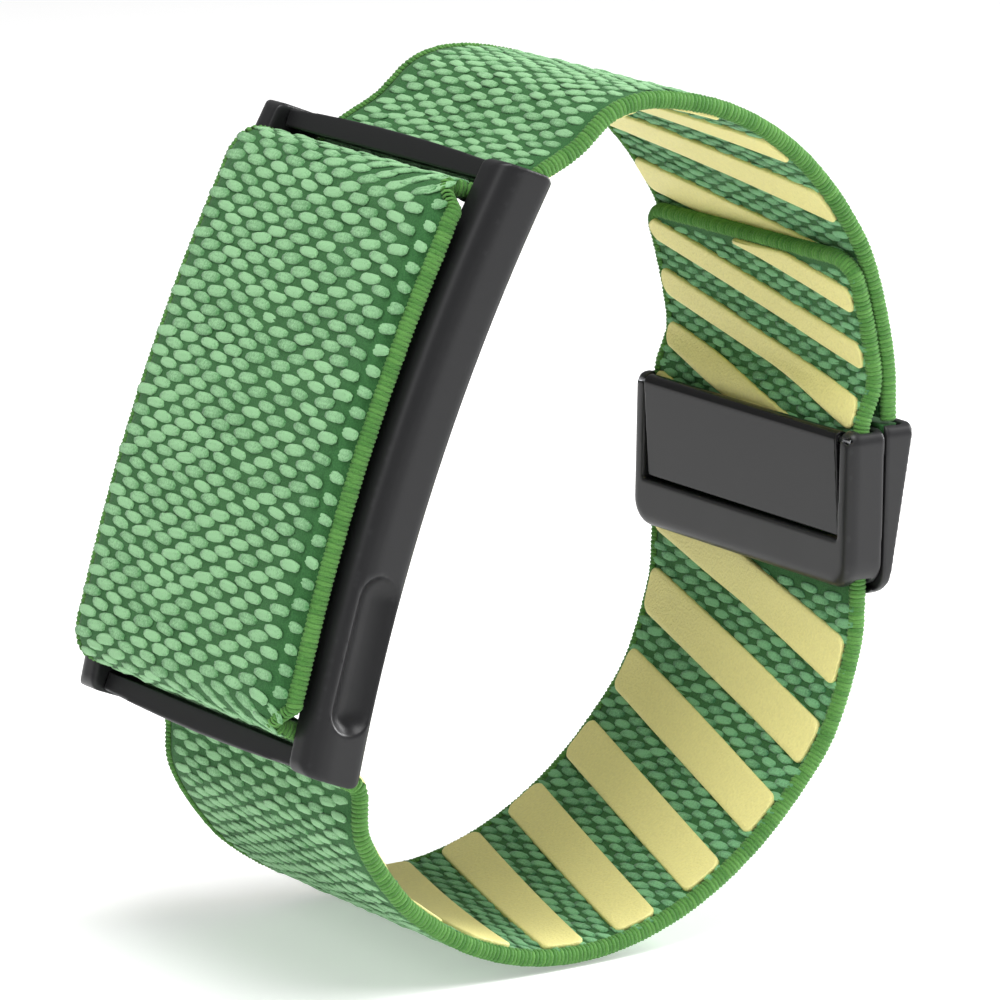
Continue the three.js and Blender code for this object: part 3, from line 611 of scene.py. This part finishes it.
# Shares of the float's length with how far it swells there, and its profile as shares of its width
# and rise.
FLOAT_STATIONS = [(-0.46, 0.42), (-0.3, 0.86), (0.0, 1.0), (0.3, 0.86), (0.46, 0.42)]
FLOAT_PROFILE = [(-0.5, -0.1), (-0.42, 0.32), (-0.2, 0.42), (-0.08, 0.36)]
FLOAT_PROFILE += [(0.1, 0.5), (0.22, 0.38), (0.42, 0.3), (0.5, -0.1)]
FLAT_SHARE, SWELL_SHARE = 0.55, 0.45


def float_shape():
    """One float, a lobed oval with three strands showing along its top."""
    rings = []
    for y, swell in FLOAT_STATIONS:
        wide = swell * FLOAT_WIDE
        rise = (FLAT_SHARE + SWELL_SHARE * swell) * FLOAT_RISE * swell
        rings.append([Vector((x * wide, y * FLOAT_LONG, z * rise)) * MM for x, z in FLOAT_PROFILE])
    mesh = mesh_of("float", [solid_from_rings(rings)])
    # This value is 0 at the float's foot and ends and 1 on its top. It drives the painted shade in the
    # yarn's colour.
    crown_shade = mesh.attributes.new("crown_shade", "FLOAT", "POINT")
    for vert in mesh.vertices:
        rise = max(0.0, vert.co.z / (0.5 * FLOAT_RISE * MM))
        along_it = min(1.0, abs(vert.co.y) / (0.5 * FLOAT_LONG * MM))
        crown_shade.data[vert.index].value = rise * (1 - along_it**2)
    return mesh


def thread_paths(name, paths):
    """Fine lines on the strap, each a list of (s, y, out), that keep which way is outward."""
    verts, edges, outward = [], [], []
    for path in paths:
        edges += [(k + len(verts), k + len(verts) + 1) for k in range(len(path) - 1)]
        for s, y, out in path:
            place, normal = on_strap(s, y, out)
            verts.append(place)
            outward.append(normal if out >= 0 else -normal)
    mesh = bpy.data.meshes.new(name)
    mesh.from_pydata(verts, edges, [])
    mesh.attributes.new("outward", "FLOAT_VECTOR", "POINT")
    mesh.attributes["outward"].data.foreach_set("vector", np.array(outward, float).ravel())
    return new_object(name, mesh)


SHADE_SEED = 77
RUFFLE_SCALE = 1700
TREE_INPUTS = (("Count", "Int"), ("Motif", "Object"), ("Smallest", "Float"), ("Turn", "Float"),
               ("Stray", "Float"), ("Ruffle", "Float"), ("Seed", "Int"), ("Finish", "Material"))


def stitching_tree():
    """The nodes that lay one motif after another along each line, at an even pitch."""
    tree = bpy.data.node_groups.new("lay_along", "GeometryNodeTree")
    tree.interface.new_socket("Lines", in_out="INPUT", socket_type="NodeSocketGeometry")
    for name, kind in TREE_INPUTS:
        tree.interface.new_socket(name, in_out="INPUT", socket_type="NodeSocket" + kind)
    tree.interface.new_socket("Laid", in_out="OUTPUT", socket_type="NodeSocketGeometry")
    add = tree.nodes.new
    join = links(tree)
    given = add("NodeGroupInput")

    def opposite(value):
        node = add("ShaderNodeMath")
        node.operation = "MULTIPLY"
        node.inputs[1].default_value = -1
        join(value, node.inputs[0])
        return node.outputs["Value"]

    # Each line becomes as many even points as there are motifs on it.
    to_curve = add("GeometryNodeMeshToCurve")
    join(given.outputs["Lines"], to_curve.inputs["Mesh"])
    even = add("GeometryNodeResampleCurve")
    even.mode = "COUNT"
    join(to_curve.outputs["Curve"], even.inputs["Curve"])
    join(given.outputs["Count"], even.inputs["Count"])

    # A motif stands outward and points along its line.
    outward = add("GeometryNodeInputNamedAttribute")
    outward.data_type = "FLOAT_VECTOR"
    outward.inputs["Name"].default_value = "outward"
    tangent = add("GeometryNodeInputTangent")
    aim = add("FunctionNodeAxesToRotation")
    aim.primary_axis = "Z"
    aim.secondary_axis = "X"
    join(outward.outputs["Attribute"], aim.inputs["Primary Axis"])
    join(tangent.outputs["Tangent"], aim.inputs["Secondary Axis"])
    keep = add("GeometryNodeStoreNamedAttribute")
    keep.data_type = "QUATERNION"
    keep.domain = "POINT"
    keep.inputs["Name"].default_value = "aim"
    join(even.outputs["Curve"], keep.inputs["Geometry"])
    join(aim.outputs["Rotation"], keep.inputs["Value"])
    to_points = add("GeometryNodeCurveToPoints")
    to_points.mode = "EVALUATED"
    join(keep.outputs["Geometry"], to_points.inputs["Curve"])

    # It strays a little from its place, turns a little and is a little smaller or larger.
    stray = add("FunctionNodeRandomValue")
    stray.data_type = "FLOAT_VECTOR"
    join(opposite(given.outputs["Stray"]), stray.inputs["Min"])
    join(given.outputs["Stray"], stray.inputs["Max"])
    join(given.outputs["Seed"], stray.inputs["Seed"])
    shifted = add("GeometryNodeSetPosition")
    join(to_points.outputs["Points"], shifted.inputs["Geometry"])
    join(stray.outputs["Value"], shifted.inputs["Offset"])
    kept = add("GeometryNodeInputNamedAttribute")
    kept.data_type = "QUATERNION"
    kept.inputs["Name"].default_value = "aim"
    angle = add("FunctionNodeRandomValue")
    angle.data_type = "FLOAT"
    join(opposite(given.outputs["Turn"]), angle.inputs[2])
    join(given.outputs["Turn"], angle.inputs[3])
    join(given.outputs["Seed"], angle.inputs["Seed"])
    spin = add("ShaderNodeCombineXYZ")
    join(angle.outputs[1], spin.inputs["Z"])
    turned = add("FunctionNodeRotateRotation")
    turned.rotation_space = "LOCAL"
    join(kept.outputs["Attribute"], turned.inputs["Rotation"])
    join(spin.outputs["Vector"], turned.inputs["Rotate By"])
    size = add("FunctionNodeRandomValue")
    size.data_type = "FLOAT"
    join(given.outputs["Smallest"], size.inputs[2])
    join(given.outputs["Seed"], size.inputs["Seed"])
    motif = add("GeometryNodeObjectInfo")
    join(given.outputs["Motif"], motif.inputs["Object"])
    lay = add("GeometryNodeInstanceOnPoints")
    join(shifted.outputs["Geometry"], lay.inputs["Points"])
    join(motif.outputs["Geometry"], lay.inputs["Instance"])
    join(turned.outputs["Rotation"], lay.inputs["Rotation"])
    join(size.outputs[1], lay.inputs["Scale"])

    # Each motif has a shade of its own, then all are made real and ruffled.
    tint = add("FunctionNodeRandomValue")
    tint.data_type = "FLOAT"
    tint.inputs["Seed"].default_value = SHADE_SEED
    mark = add("GeometryNodeStoreNamedAttribute")
    mark.data_type = "FLOAT"
    mark.domain = "INSTANCE"
    mark.inputs["Name"].default_value = "shade"
    join(lay.outputs["Instances"], mark.inputs["Geometry"])
    join(tint.outputs[1], mark.inputs["Value"])
    real = add("GeometryNodeRealizeInstances")
    join(mark.outputs["Geometry"], real.inputs["Geometry"])
    uneven = add("ShaderNodeTexNoise")
    uneven.inputs["Scale"].default_value = RUFFLE_SCALE
    centred = add("ShaderNodeVectorMath")
    centred.operation = "SUBTRACT"
    centred.inputs[1].default_value = (0.5, 0.5, 0.5)
    join(uneven.outputs["Color"], centred.inputs[0])
    ruffled = add("ShaderNodeVectorMath")
    ruffled.operation = "SCALE"
    join(centred.outputs["Vector"], ruffled.inputs[0])
    join(given.outputs["Ruffle"], ruffled.inputs["Scale"])
    ruffle = add("GeometryNodeSetPosition")
    join(real.outputs["Geometry"], ruffle.inputs["Geometry"])
    join(ruffled.outputs["Vector"], ruffle.inputs["Offset"])
    paint = add("GeometryNodeSetMaterial")
    join(ruffle.outputs["Geometry"], paint.inputs["Geometry"])
    join(given.outputs["Finish"], paint.inputs["Material"])
    result = add("NodeGroupOutput")
    join(paint.outputs["Geometry"], result.inputs["Laid"])
    return tree


lay_along = stitching_tree()


def laid(name, lines, **inputs):
    """The mesh that the tree makes of these lines; the lines and the tree's modifier are then gone."""
    maker = lines.modifiers.new("lay", "NODES")
    maker.node_group = lay_along
    for item in lay_along.interface.items_tree:
        if item.in_out == "INPUT" and item.name in inputs:
            maker[item.identifier] = inputs[item.name]
    graph = bpy.context.evaluated_depsgraph_get()
    mesh = bpy.data.meshes.new_from_object(lines.evaluated_get(graph))
    mesh.name = name
    bpy.data.objects.remove(lines)
    return mesh


float_motif = new_object("float_motif", float_shape())
float_yarn = yarn("float_yarn", (0.04, 0.20, 0.05), (0.30, 0.60, 0.29),
                  scale=6500, bump=1.0, sheen=0.25, first_tone=0.42, last_tone=0.98)
# The inner faces' floats use a darker copy of the float yarn: partly the inner face's own darker tone,
# partly painted shade for the inside of the loop.
inner_tone_and_shade_yarn = yarn("inner_float_tone_and_shade_yarn", (0.02, 0.13, 0.045), (0.20, 0.50, 0.23),
                  scale=6500, bump=1.0, sheen=0.2, first_tone=0.42, last_tone=0.98)
COVER_ASIDE = 0.25
BOTH_BINDINGS, NEARLY_FITS = 1.9, 0.1
PATH_STEP = 0.5
FLOAT_SEED = 11
BUCKLE_FROM, BUCKLE_TO = 162.4, 172.3
LAST_FLOAT = STRAP_END - 0.9
# Length of strap, side, where its floats start and end, pitch along, spacing across, size. The faces
# stop where the buckle hides the strap, and go on at the free end.
FACES = [
    ("upper", 1, 1.2, COVER_STARTS, 1.17, 1.47, 0.88),
    ("upper", -1, 1.2, COVER_STARTS, 1.1, 1.38, 0.84),
    ("cover", 1, COVER_STARTS, COVER_ENDS, 1.4, 1.39, 1.0),
    ("lower", 1, COVER_ENDS, BUCKLE_FROM, 1.17, 1.47, 0.88),
    ("lower", -1, COVER_ENDS, BUCKLE_FROM, 1.12, 1.42, 0.86),
    ("lower", -1, BUCKLE_TO, LAST_FLOAT, 1.0, 1.15, 0.74),
    ("lower", 1, BUCKLE_TO, LAST_FLOAT, 1.0, 1.15, 0.74),
]
for number, (length, side, first, last, pitch, spacing, scale) in enumerate(FACES):
    # An odd number of columns. Each starts half a pitch in and ends a pitch short, 1.5 pitches in
    # all, and every second one is half a pitch further on.
    columns = int((2 * STRAP_HALF - BOTH_BINDINGS) / spacing / 2 + NEARLY_FITS) * 2 + 1
    per_column = round((last - first - 1.5 * pitch) / pitch) + 1
    # Floats on the inner face take the darker yarn: partly their own tone, partly painted shade.
    finish = float_yarn if side > 0 else inner_tone_and_shade_yarn
    aside = COVER_ASIDE if length == "cover" else 0
    paths = []
    for column in range(columns):
        y = (column - (columns - 1) / 2) * spacing - aside
        stagger = (column % 2) * pitch / 2
        starts, ends = first + pitch / 2 + stagger, last - pitch + stagger
        stops = np.linspace(starts, ends, int((last - first) / PATH_STEP))
        paths.append([(s, y, side * GROUND) for s in stops])
    motif_mesh = float_motif.data.copy()
    motif_mesh.transform(Matrix.Diagonal((scale, scale, scale, 1)))
    motif = new_object("float_scaled", motif_mesh)
    face_mesh = laid("floats", thread_paths("columns", paths), Count=per_column, Motif=motif,
                     Smallest=0.88, Turn=0.1, Stray=0.05 * MM, Ruffle=0.26 * MM,
                     Seed=FLOAT_SEED + number, Finish=finish)
    bpy.data.objects.remove(motif)
    where = ("outer" if side > 0 else "inner") + ("_tail" if first == BUCKLE_TO else "")
    dress(f"weave_floats_{length}_{where}", face_mesh, finish, length)
bpy.data.objects.remove(float_motif)


# ---- Edge binding: overlock thread wrapped round both edges and round the free end ----
# Textured polyester thread, a little yellower than the yarn, sewn so close that its wraps lie side by
# side as ribs from one face, round the edge, to the other face.

RIB_PITCH = 0.31
# A wrap is wider than the pitch, so that it presses into its neighbours.
RIB_HALF, RIB_RISE = RIB_PITCH * 0.68, 0.11
RIB_SEED = 31
CORNER_STEPS, END_STEPS, END_MARGIN = 15, 50, 0.4
# The wrap's path from one face round the edge to the other, as how far inward and how far up.
WRAP = [(0.74, 0.42), (0.45, 0.54), (0.16, 0.45), (0.0, 0.20)]
WRAP += [(y, -z) for y, z in reversed(WRAP)]


def wrap_shape():
    """One wrap of thread, a C round the edge, flattened against its neighbours."""
    rings = []
    aside = Vector((RIB_HALF, 0, 0))
    for k, (y, z) in enumerate(WRAP):
        here = Vector((0, y, z))
        before = Vector((0, *WRAP[max(0, k - 1)]))
        after = Vector((0, *WRAP[min(len(WRAP) - 1, k + 1)]))
        run = (after - before).normalized()
        rise = Vector((0, -run.z, run.y)) * RIB_RISE
        rings.append([(here + part) * MM for part in (aside, rise, -aside, -rise)])
    return mesh_of("wrap", [solid_from_rings(rings)])


def edge_paths(length, first, last):
    """The strap's two edges, which at the free end run on round its corners and join."""
    straight_to = STRAP_END - CORNER if length == "lower" else last
    stops = list(np.linspace(first, straight_to, int((last - first) / PATH_STEP)))
    far = [(s, STRAP_HALF, 0.0) for s in stops]
    near = [(s, -STRAP_HALF, 0.0) for s in reversed(stops)]
    if length != "lower":
        return [far, near]
    corner = []
    for k in range(1, CORNER_STEPS + 1):
        a = math.radians(90 - 90 * k / CORNER_STEPS)
        s, y = STRAP_END - CORNER + CORNER * math.cos(a), STRAP_HALF - CORNER + CORNER * math.sin(a)
        corner.append((s, y, 0.0))
    reach = STRAP_HALF - CORNER - END_MARGIN
    across = [(STRAP_END, y, 0.0) for y in np.linspace(reach, -reach, END_STEPS)]
    other_corner = [(s, -y, out) for s, y, out in reversed(corner)]
    return [far + corner + across + other_corner + near]


thread = yarn("overlock_thread", (0.05, 0.185, 0.033), (0.125, 0.32, 0.07),
              scale=9000, bump=0.6, sheen=0.1)
wrap = new_object("wrap_motif", wrap_shape())
for number, (length, (first, last)) in enumerate(LENGTHS.items()):
    edge = thread_paths("edges", edge_paths(length, first, last))
    around = 2 * (last - first) + 2 * STRAP_HALF if length == "lower" else last - first
    rib_mesh = laid("ribs", edge, Count=round(around / RIB_PITCH), Motif=wrap, Smallest=0.96,
                    Turn=0.05, Stray=0.012 * MM, Ruffle=0.03 * MM, Seed=RIB_SEED + number,
                    Finish=thread)
    dress(f"edge_binding_{length}", rib_mesh, thread, length)
bpy.data.objects.remove(wrap)


# ---- Grip stripes: soft silicone laid across the inside of the strap ----
# Pale yellow silicone, screen-printed thick on the slant and cured, with a finely pebbled face. Each
# stripe stops at the edge binding with small rounded corners.

grip = simple("grip_silicone", (0.88, 0.80, 0.32), roughness=0.55, scale=5000, spread=0.05, bump=0.9,
              depth=0.0001)
STRIPE_ROUND = 0.7
EDGE_CLEAR, END_CLEAR = 0.72, 0.75
NEAR_EDGE_AT = 0.5
STRIPE_GAPS = [0, 0.05, 0.15, 0.3, 0.5, STRIPE_ROUND]
STRAIGHT_FROM, STRAIGHT_STEPS = 1.2, 46
# Heights of the stripe's cross-section above the middle of the strap, and how far in its top is full
FOOT, SIDE, SHOULDER, TOP = 0.40, 0.70, 0.78, 0.80
SHOULDER_IN, TOP_STEPS = 0.1, 8
THINNEST = 0.3


def furthest(y):
    """How far along a stripe may reach at y, inside the binding of the free end's rounded corners."""
    past = max(0.0, abs(y) - (STRAP_HALF - CORNER))
    return STRAP_END - END_CLEAR - CORNER + math.sqrt(max(0.0, CORNER**2 - past**2))


def stripe_rings(near_s, width, slope):
    """One stripe as sections across the strap, from its near edge to its far edge."""
    reach = STRAP_HALF - EDGE_CLEAR
    stops = [-reach + gap for gap in STRIPE_GAPS]
    stops += list(np.linspace(-reach + STRAIGHT_FROM, reach - STRAIGHT_FROM, STRAIGHT_STEPS))
    stops += [reach - gap for gap in reversed(STRIPE_GAPS)]
    rings = []
    for y in stops:
        left = min(reach - y, y + reach, STRIPE_ROUND)
        half = width / 2 - STRIPE_ROUND + math.sqrt(max(0.0, STRIPE_ROUND**2 - (STRIPE_ROUND - left)**2))
        middle = near_s + slope * (y + STRAP_HALF - NEAR_EDGE_AT)
        low, high = middle - half, min(middle + half, furthest(y))
        if high - low < THINNEST:
            continue
        round_in = min(SHOULDER_IN, (high - low) / 4)
        section = [(low, FOOT), (low, SIDE), (low + round_in, SHOULDER)]
        section += [(low + (high - low) * k / TOP_STEPS, TOP) for k in range(1, TOP_STEPS)]
        section += [(high - round_in, SHOULDER), (high, SIDE), (high, FOOT), ((low + high) / 2, FOOT)]
        rings.append([on_strap(s, y, -out)[0] for s, out in section])
    return rings


# Length of strap, where each stripe lies along it at the near edge, width, slope
STRIPES = [
    ("upper", [9.8, 16.6, 22.9, 30.0, 37.2, 44.4], 3.1, 0.23),
    ("lower", [157.2 - 6.3 * k for k in range(10)], 3.5, 0.3),
    ("lower", [183.6, 179.35], 1.9, 0.26),
    ("lower", [174.9, 170.7, 166.9], 2.1, 0.27),
]
for number, (length, places, width, slope) in enumerate(STRIPES):
    stripes = [solid_from_rings(stripe_rings(s, width, slope)) for s in places]
    dress(f"grip_stripes_{number + 1}", mesh_of("stripes", stripes), grip, length)
